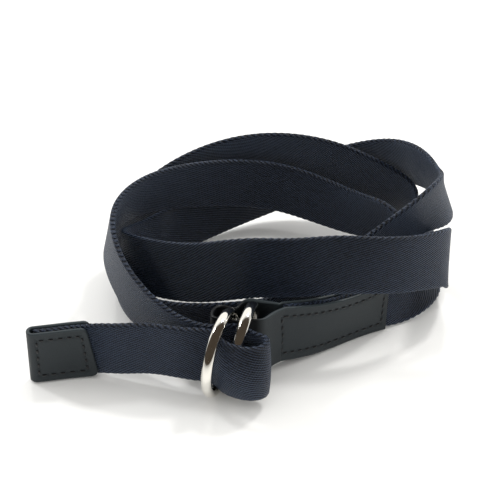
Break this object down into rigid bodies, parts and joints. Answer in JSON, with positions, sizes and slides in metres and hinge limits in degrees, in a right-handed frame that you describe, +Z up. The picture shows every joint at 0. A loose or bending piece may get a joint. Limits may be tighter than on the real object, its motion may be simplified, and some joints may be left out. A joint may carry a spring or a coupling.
{
  "type": "tape belt",
  "caption": "Webbing tape belt coiled on its edge, fastened through paired round rings on a folded leather tab, with a leather tip on the free end.",
  "frame": {"origin": "middle of the footprint, on the floor that the coil stands on", "axes": "+Z up, -Y toward the side with the rings, +X to the right of someone looking at that side"},
  "size_m": [0.1428, 0.1294, 0.046],
  "materials": {
    "webbing": "matt twill tape, dark navy",
    "leather": "smooth, dark grey, soft sheen",
    "ring_metal": "polished"
  },
  "bodies": {
    "root": {"webbing_strap": "webbing", "tab_leather": "leather", "tip_leather": "leather", "ring_outer": "ring_metal", "ring_inner": "ring_metal"}
  },
  "joints": []
}
